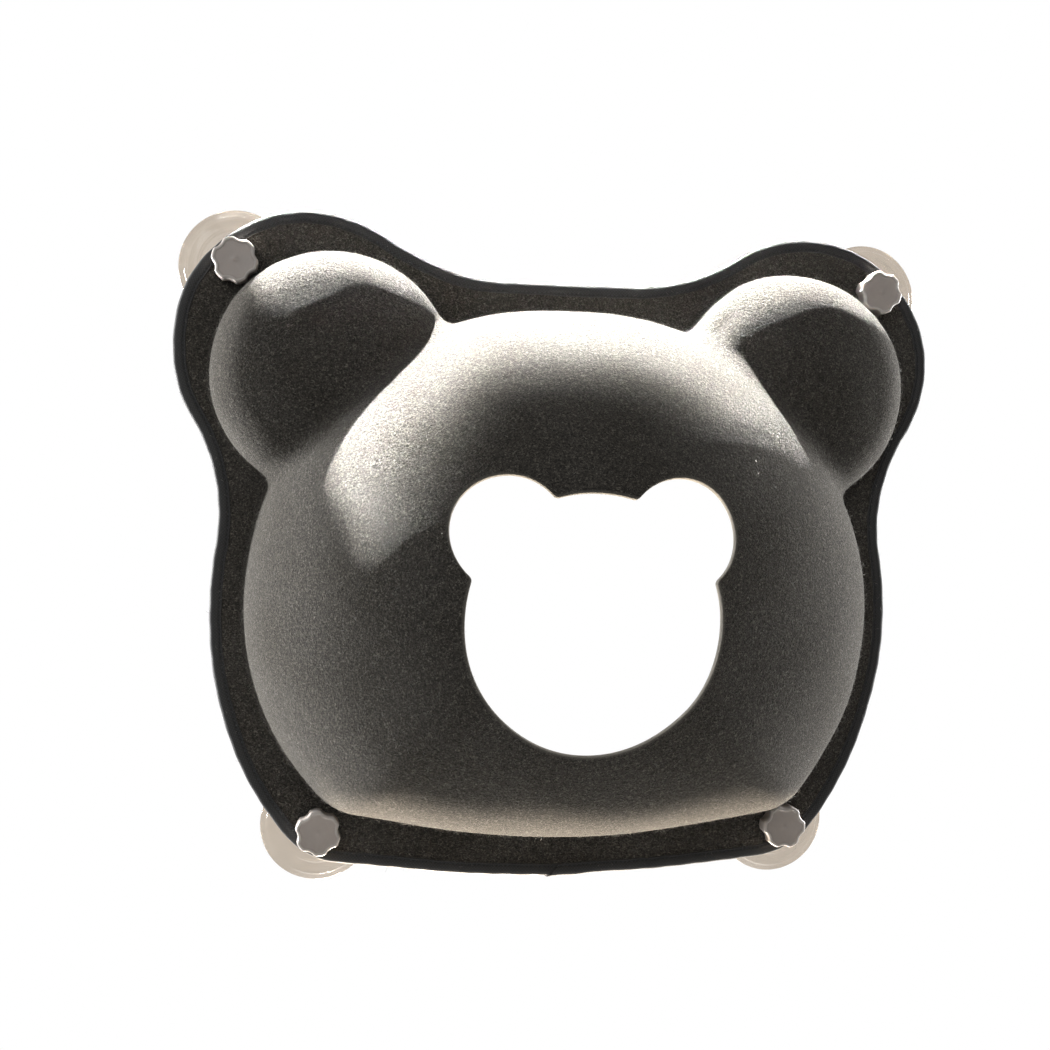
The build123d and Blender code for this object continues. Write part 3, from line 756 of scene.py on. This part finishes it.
# Threaded studs
# A natural nylon stud stands in each cup's neck, which is moulded over its round head. Its
# coarse thread, M8 with a pitch of 2 mm, carries the knob.
PITCH = 2.0
THREAD_HIGH = 0.75
THREAD_FLANK = 3.2     # how steeply the thread rises, and how much of its foot is cut off
THREAD_ROOT = 0.3
STUD_FOOT = 9.5        # depths off the pane, mm
STUD_TIP = 33.0
STUD_COLUMNS = 40
nylon, tree, place = new_finish("natural_nylon")
_, tone, bump = mottled(tree, place, 2.5, "#dedbd2", "#ece9e2", 0.15, 0.0002, Detail=3.0)
surface = add(tree, "ShaderNodeBsdfPrincipled", {
    "Base Color": tone, "Roughness": 0.42, "IOR": 1.53, "Normal": bump,
    "Subsurface Weight": 0.15, "Subsurface Radius": (0.002, 0.002, 0.0018)})
add(tree, "ShaderNodeOutputMaterial", {"Surface": surface})

# The round head, the threaded shank and the tip: each ring's depth off the pane, the share of
# the thread that it has, and the radius of its core.
levels = [(STUD_FOOT, 0.0, 6.4), (9.7, 0.0, 6.85), (10.0, 0.0, 7.0), (12.0, 0.0, 7.0), (12.3, 0.0, 6.85),
          (12.5, 0.0, 6.4), (12.5, 0.0, 3.6)]
levels += [(depth, 1.0, 3.25) for depth in np.arange(12.8, STUD_TIP - 0.95, 0.22)]
levels += [(STUD_TIP - 0.7, 0.4, 3.2), (STUD_TIP - 0.25, 0.1, 3.1), (STUD_TIP, 0.0, 2.8)]
for corner, (x, z) in STUDS.items():
    rings = []
    for depth, thread, core in levels:
        phase = (depth / PITCH - np.arange(STUD_COLUMNS) / STUD_COLUMNS) % 1.0
        crest = np.clip((0.5 - abs(phase - 0.5)) * THREAD_FLANK - THREAD_ROOT, 0, 1)
        rings.append(round_ring((x, z), core + thread * THREAD_HIGH * crest, depth, STUD_COLUMNS))
    stud = ringed(f"stud_{corner}_threaded", (x, -STUD_FOOT, z), rings, (x, -STUD_TIP, z), from_behind=True)
    stud.data.materials.append(nylon)
    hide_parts(f"stud_{corner}")
    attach(stud, "shell_on_cups")

# Eyelets
# Pressed steel eyelets, nickel plated, keep each stud from tearing the felt: a barrel with a
# rolled rim in front, curled over a flat ring behind.
nickel, tree, place = new_finish("nickel_plated_steel")
wear, tone, bump = mottled(tree, place, 3.0, "#a9a7a3", "#d2d0cb", 0.08, 0.0002, Detail=5.0, Roughness=0.65)
rough = add(tree, "ShaderNodeMapRange", {
    "Value": wear, "From Min": 0.3, "From Max": 0.7, "To Min": 0.2, "To Max": 0.36})
surface = add(tree, "ShaderNodeBsdfPrincipled", {
    "Base Color": tone, "Metallic": 1.0, "Roughness": rough, "Normal": bump})
add(tree, "ShaderNodeOutputMaterial", {"Surface": surface})


def finish_node(name, finish):
    """Give a piece that stays as it was drawn its finish."""
    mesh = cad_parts[name].data
    mesh.materials.clear()
    mesh.materials.append(finish)


for corner in STUDS:
    finish_node(f"eyelet_{corner}", nickel)
    finish_node(f"eyelet_ring_{corner}", nickel)

# Washers
# Under each knob a flat washer of clear hard plastic, stamped from sheet, spreads the load on
# the eyelet's rim.
clear_sheet, tree, place = new_finish("clear_stamped_plastic")
_, tone, bump = mottled(tree, place, 1.5, "#dfe3e2", "#eef0ef", 0.1, 0.0001, Detail=4.0)
surface = add(tree, "ShaderNodeBsdfPrincipled", {
    "Base Color": tone, "Roughness": 0.22, "IOR": 1.49, "Normal": bump, "Transmission Weight": 0.6})
add(tree, "ShaderNodeOutputMaterial", {"Surface": surface})
for corner in STUDS:
    finish_node(f"washer_{corner}", clear_sheet)

# Lobed knobs
# Four knobs of frosted white polypropylene, injection moulded: six lobes for the fingers, a
# rounded rim, painted brighter as a highlight, round a slightly sunken face, hollow behind
# round the threaded boss.
KNOB_RADIUS = 16.0     # over the lobes, mm
VALLEY = 8.1           # radius of the hollow between two lobes, and how deep it cuts in
VALLEY_DEPTH = 1.9
LOBE_TURN = 2.4        # radius of the turn from a hollow into a lobe
RIM = 1.7              # radius of the rounded rim
KNOB_BACK = 25.2       # depth off the pane of the boss's end, which rests on the washer
KNOB_HEIGHT = 13.0
SKIRT = 0.8            # how far the outer wall stays clear of the boss's end
WALL = 2.2
CORE = 8.0             # how deep the hollow behind goes
BOSS, BORE = 8.6, 4.05
BORE_DEPTH = 8.6
INSIDE_RIM = 14.5      # from the rim to the middle of the face
GATE = 0.7             # how far below the top of the rim the middle of the gate mark lies
TURNS = {"top_left": 17, "top_right": 15, "bottom_left": 7, "bottom_right": 29}   # degrees
valley_middle = KNOB_RADIUS - VALLEY_DEPTH + VALLEY
turn_middle = KNOB_RADIUS - LOBE_TURN
turn_angle = math.acos((turn_middle**2 + valley_middle**2 - (VALLEY + LOBE_TURN) ** 2)
                       / (2 * turn_middle * valley_middle))
turn_spot = np.array([turn_middle * math.cos(turn_angle), turn_middle * math.sin(turn_angle)])
touch = np.array([valley_middle, 0]) + (turn_spot - (valley_middle, 0)) * VALLEY / (VALLEY + LOBE_TURN)
twelfth = np.linspace(0, math.pi / 6, 21)
in_valley = valley_middle * np.cos(twelfth) - np.sqrt(
    np.maximum(VALLEY**2 - (valley_middle * np.sin(twelfth)) ** 2, 0))
in_turn = turn_middle * np.cos(twelfth - turn_angle) + np.sqrt(
    np.maximum(LOBE_TURN**2 - (turn_middle * np.sin(twelfth - turn_angle)) ** 2, 0))
knob_reach = np.where(twelfth < turn_angle, in_turn, KNOB_RADIUS)
knob_reach = np.where(twelfth < math.atan2(touch[1], touch[0]), in_valley, knob_reach)
knob_reach = np.tile(np.concatenate([knob_reach, knob_reach[-2:0:-1]]), 6)
knob_turns = np.arange(len(knob_reach)) * 2 * math.pi / len(knob_reach)
circle = np.stack([np.cos(knob_turns), np.sin(knob_turns)], 1)
knob_edge = circle * knob_reach[:, None]
way = np.roll(knob_edge, -1, 0) - np.roll(knob_edge, 1, 0)
way /= np.linalg.norm(way, axis=1, keepdims=True)
edge_out = np.stack([way[:, 1], -way[:, 0]], 1)


def knob_ring(inset):
    """The knob's outline drawn in, square to its edge at first and then towards its middle."""
    return (knob_edge - edge_out * min(inset, RIM)) * (1 - max(inset - RIM, 0) / INSIDE_RIM)


# From the small gate mark in the middle over the sunken face and the rim, down the lobed
# wall, up inside it to the floor of the hollow, down the boss and up its bore: each ring of
# points and its depth off the pane.
face = KNOB_BACK + KNOB_HEIGHT
wall_end = KNOB_BACK + SKIRT
core_floor = wall_end + CORE
sunk = [(circle * 0.9, 0.75), (circle * 1.5, 1.0), (circle * 4.0, 1.03), (circle * 8.0, 0.95),
        (knob_ring(3.6), 0.85), (knob_ring(2.9), 0.78), (knob_ring(2.5), 0.45), (knob_ring(2.15), 0.12)]
rim_turns = np.linspace(0, math.pi / 2, 9)
rings = [(outline, face - below) for outline, below in sunk]
rings += [(knob_ring(RIM - RIM * math.sin(t)), face - RIM + RIM * math.cos(t)) for t in rim_turns]
rings += [(knob_ring(0.0), (face + wall_end) / 2), (knob_ring(0.0), wall_end + 0.5),
          (knob_ring(0.15), wall_end + 0.15), (knob_ring(0.5), wall_end), (knob_ring(WALL - 0.2), wall_end),
          (knob_ring(WALL), wall_end + 0.25), (knob_ring(WALL + 0.2), core_floor - 0.4),
          (knob_ring(WALL + 0.5), core_floor), (circle * (BOSS + 0.3), core_floor),
          (circle * BOSS, core_floor - 0.4), (circle * BOSS, KNOB_BACK + 0.25),
          (circle * (BOSS - 0.25), KNOB_BACK), (circle * (BORE + 0.4), KNOB_BACK),
          (circle * BORE, KNOB_BACK + 0.4), (circle * BORE, KNOB_BACK + BORE_DEPTH - 0.2),
          (circle * 0.5, KNOB_BACK + BORE_DEPTH)]

# Polypropylene, frosted white: a soft gloss, light that soaks in a little, and a rim painted
# paler as a painted highlight.
frosted, tree, place = new_finish("frosted_white_polypropylene")
flow = add(tree, "ShaderNodeTexNoise", {
    "Vector": place, "Scale": 1000 / 6.0, "Detail": 3.0, "Distortion": 0.8})
spark = add(tree, "ShaderNodeTexNoise", {"Vector": place, "Scale": 1000 / 0.5, "Detail": 2.0})
tone = add(tree, "ShaderNodeMix", {
    "Factor": flow, 6: colour("#c6bbb4"), 7: colour("#d2c9c2")}, data_type="RGBA")
# The paler rim is a painted highlight.
rim = add(tree, "ShaderNodeAttribute", attribute_name="rim_painted_highlight")
tone = add(tree, "ShaderNodeMix", {
    "Factor": rim.outputs["Fac"], 6: tone.outputs[2], 7: colour("#ddd6d0")}, data_type="RGBA")
bump = add(tree, "ShaderNodeBump", {"Height": spark, "Strength": 0.25, "Distance": 0.00012})
surface = add(tree, "ShaderNodeBsdfPrincipled", {
    "Base Color": tone.outputs[2], "Roughness": 0.36, "IOR": 1.49, "Normal": bump,
    "Subsurface Weight": 0.35, "Subsurface Radius": (0.004, 0.0036, 0.0032), "Coat Weight": 0.15,
    "Coat Roughness": 0.2})
add(tree, "ShaderNodeOutputMaterial", {"Surface": surface})

# The rim's painted highlight covers the points from the last sunken ring to where the lobed wall begins.
rim_start, rim_stop = len(sunk) - 1, len(sunk) + len(rim_turns)
for corner, (x, z) in STUDS.items():
    a = math.radians(TURNS[corner])
    turned = np.array([[math.cos(a), math.sin(a)], [-math.sin(a), math.cos(a)]])
    placed = [[(x + px, -depth, z + pz) for px, pz in outline @ turned] for outline, depth in rings]
    knob = ringed(f"knob_{corner}_moulded", (x, -(face - GATE), z), placed, (x, -(KNOB_BACK + BORE_DEPTH), z))
    rim_painted_highlight = np.zeros(len(knob.data.vertices), np.float32)
    rim_painted_highlight[1 + rim_start * len(circle): 1 + rim_stop * len(circle)] = 1.0
    knob.data.attributes.new("rim_painted_highlight", "FLOAT", "POINT").data.foreach_set("value", rim_painted_highlight)
    knob.data.materials.append(frosted)
    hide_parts(f"knob_{corner}")
    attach(knob, f"knob_{corner}")

# Floor, light and camera
# A round pale floor a metre below the perch, which hangs at window height. It fades out into
# the white room, so that no horizon shows, and isn't part of the object.
FLOOR_RADIUS = 0.9
FLOOR_HEIGHT = -1.2
FLOOR_POINTS = 64
disc = [(0.0, 0.0, FLOOR_HEIGHT)]
for t in np.linspace(0, 2 * math.pi, FLOOR_POINTS + 1)[:-1]:
    disc.append((FLOOR_RADIUS * math.cos(t), FLOOR_RADIUS * math.sin(t), FLOOR_HEIGHT))
floor = make_piece("floor", disc, [(0, 1 + i, 1 + (i + 1) % FLOOR_POINTS) for i in range(FLOOR_POINTS)])
paint, tree, place = new_finish("pale_studio_floor")
grain = add(tree, "ShaderNodeTexNoise", {"Vector": place, "Scale": 3.0})
tone = add(tree, "ShaderNodeMix", {
    "Factor": grain, 6: colour("#f1f0ee"), 7: colour("#f6f5f3")}, data_type="RGBA")
surface = add(tree, "ShaderNodeBsdfPrincipled", {
    "Base Color": tone.outputs[2], "Roughness": 0.9, "Emission Color": colour("#ffffff"),
    "Emission Strength": 0.3})
flat_place = add(tree, "ShaderNodeVectorMath", {0: place, 1: (1, 1, 0)}, operation="MULTIPLY")
away = add(tree, "ShaderNodeVectorMath", {0: flat_place}, operation="LENGTH")
fading = add(tree, "ShaderNodeMapRange", {
    "Value": away.outputs["Value"], "From Min": 0.35, "From Max": 0.8}, interpolation_type="SMOOTHSTEP")
clear = add(tree, "ShaderNodeBsdfTransparent", {"Color": (1, 1, 1, 1)})
both = add(tree, "ShaderNodeMixShader", {"Fac": fading, 1: surface, 2: clear})
add(tree, "ShaderNodeOutputMaterial", {"Surface": both})
floor.data.materials.append(paint)

# The perch hangs in a window: soft daylight comes round it from behind the pane on both sides,
# a warm glow comes up from the sill, and the room in front is dim. The camera sees plain white.
world = bpy.data.worlds.new("studio")
bpy.context.scene.world = world
world.use_nodes = True
tree = world.node_tree
tree.nodes.clear()
facing = add(tree, "ShaderNodeSeparateXYZ", {
    "Vector": add(tree, "ShaderNodeTexCoord").outputs["Generated"]})
daylight = add(tree, "ShaderNodeMapRange", {
    "Value": facing.outputs["Y"], "From Min": 0.0, "From Max": 0.9, "To Min": 0.17, "To Max": 1.5},
    interpolation_type="SMOOTHSTEP")
seen = add(tree, "ShaderNodeBackground", {"Color": (1, 1, 1, 1), "Strength": 1.0})
lit = add(tree, "ShaderNodeBackground", {"Color": colour("#fbfaf8"), "Strength": daylight})
through = add(tree, "ShaderNodeBackground", {"Color": (1, 1, 1, 1), "Strength": 0.8})
ray = add(tree, "ShaderNodeLightPath")
other = add(tree, "ShaderNodeMixShader", {"Fac": ray.outputs["Is Transmission Ray"], 1: lit, 2: through})
both = add(tree, "ShaderNodeMixShader", {"Fac": ray.outputs["Is Camera Ray"], 1: other, 2: seen})
add(tree, "ShaderNodeOutputWorld", {"Surface": both})


def softbox(name, spot, aim, size, power, tint="#ffffff"):
    """A square soft light at a spot, facing what it lights."""
    light = bpy.data.lights.new(name, "AREA")
    light.shape = "SQUARE"
    light.size = size
    light.energy = power
    light.color = colour(tint)[:3]
    way = Vector(aim) - Vector(spot)
    facing = way.to_track_quat("-Z", "Y").to_matrix().to_4x4()
    put(name, light).matrix_world = Matrix.Translation(spot) @ facing


softbox("left_daylight", (-1.45, 0.42, 0.0), (-0.05, -0.08, 0), 0.6, 65.0)
softbox("right_daylight", (1.45, 0.42, 0.1), (0.05, -0.08, 0), 0.8, 55.0)
softbox("front_fill", (-0.9, -1.8, 0.9), (0, -0.05, 0), 1.4, 9.0)
softbox("sill_glow", (0, 0.55, -1.0), (0, -0.05, -0.2), 0.3, 60.0, "#fff0dc")

# The window light falls past the frame as a slab: it strikes only what lies within ten
# centimetres of the pane, so the face of the head stays dark below a bright crown.
beam_way = Vector((-0.36, 0.24, 0.93)).normalized()
beam_run = Vector((0.93, 0.06, 0.36))
beam_run = (beam_run - beam_way * beam_run.dot(beam_way)).normalized()
beam_middle = Vector((0, -0.085, 0.07)) + beam_run * 0.085 + beam_way * 1.3
light = bpy.data.lights.new("window_light", "AREA")
light.shape = "RECTANGLE"
light.size = 0.50
light.size_y = 0.075
light.spread = math.radians(1.3)
light.energy = 3.0
beam_axes = Matrix((beam_run, beam_way.cross(beam_run), beam_way)).transposed()
put("window_light", light).matrix_world = Matrix.Translation(beam_middle) @ beam_axes.to_4x4()

bpy.context.scene.view_settings.view_transform = "Standard"
bpy.context.scene.view_settings.look = "None"

# The camera stands a metre off, 9 degrees to the left, held a little aslant as in the photo.
turn, tilt, roll = math.radians(-9.26), math.radians(0.47), math.radians(1.31)
off = 0.996
aim = Vector((-0.0265, -0.021, 0.020))
back = Vector((math.sin(turn) * math.cos(tilt), -math.cos(turn) * math.cos(tilt), math.sin(tilt)))
right = Vector((math.cos(turn), math.sin(turn), 0))
up = back.cross(right)
right, up = right * math.cos(roll) + up * math.sin(roll), up * math.cos(roll) - right * math.sin(roll)
lens = bpy.data.cameras.new("camera")
lens.sensor_width = 36.0
lens.lens = 46.8
camera = put("camera", lens)
camera.matrix_world = Matrix.Translation(aim + back * off) @ Matrix((right, up, back)).transposed().to_4x4()
bpy.context.scene.camera = camera
